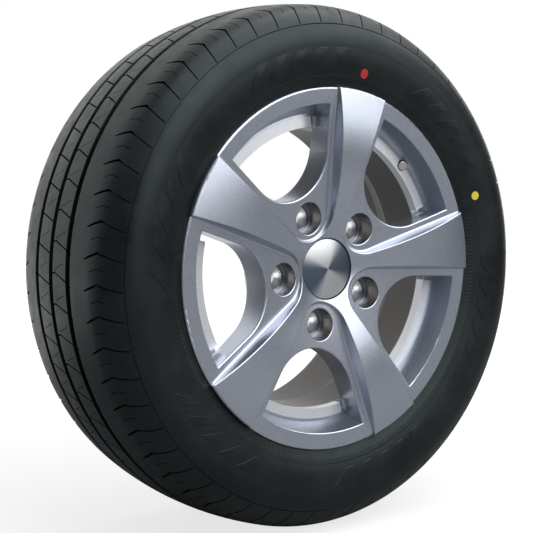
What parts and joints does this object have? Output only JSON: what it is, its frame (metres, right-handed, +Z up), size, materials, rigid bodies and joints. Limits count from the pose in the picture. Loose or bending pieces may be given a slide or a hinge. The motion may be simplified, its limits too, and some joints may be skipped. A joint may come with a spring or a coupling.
{
  "type": "wheel and tyre assembly",
  "caption": "Cast alloy trailer wheel with flared spokes, a tubeless radial tyre, a snap-in centre cap and a screw-in tyre valve.",
  "frame": {"origin": "centre of the rim on the wheel's turning axis", "axes": "+Y along the turning axis towards the vehicle, so the styled face looks to -Y; +Z up with the wheel standing on its tread"},
  "size_m": [0.5289, 0.1868, 0.5288],
  "materials": {
    "silver_paint": "satin silver lacquer on cast aluminium",
    "tyre_rubber": "matt moulded rubber",
    "spun_aluminium": "spun, clear-coated",
    "black_plastic": "moulded",
    "spring_steel": "drawn wire",
    "nickel_brass": "nickel-plated",
    "bare_brass": "machined",
    "seal_rubber": "moulded"
  },
  "bodies": {
    "wheel_body": {"wheel": "silver_paint", "tyre": "tyre_rubber", "centre_cap": "black_plastic", "centre_cap_face": "spun_aluminium", "centre_cap_spring": "spring_steel", "valve_stem": "nickel_brass", "valve_grommet": "seal_rubber", "valve_washer": "nickel_brass", "valve_nut": "nickel_brass", "valve_core_plug": "bare_brass", "valve_core_gasket": "seal_rubber", "valve_core_barrel": "bare_brass", "valve_core_spring": "spring_steel"},
    "valve_pin": {"valve_core_pin": "bare_brass", "valve_core_cup": "seal_rubber"},
    "valve_cap_gasket_body": {"valve_cap_gasket": "seal_rubber"},
    "valve_cap_body": {"valve_cap": "nickel_brass"}
  },
  "joints": [
    {"name": "valve_pin_press", "type": "slide", "parent": "wheel_body", "child": "valve_pin", "axis": [0.2695, 0.9272, 0.2602], "range_m": [0, 0.0012], "stiffness_N_per_m": 900, "springref_m": -0.002, "deforming": ["valve_core_spring"]},
    {"name": "valve_cap_lift", "type": "slide", "parent": "wheel_body", "child": "valve_cap_gasket_body", "axis": [-0.2695, -0.9272, -0.2602], "range_m": [0, 0.00549]},
    {"name": "valve_cap_turn", "type": "hinge", "parent": "valve_cap_gasket_body", "child": "valve_cap_body", "pos_m": [0.10758, -0.06244, 0.10389], "axis": [-0.2695, -0.9272, -0.2602], "range_deg": [0, 2490]}
  ],
  "couplings": [
    {"joint": "valve_cap_turn", "follows": "valve_cap_lift", "rad_per_m": 7913.3}
  ]
}
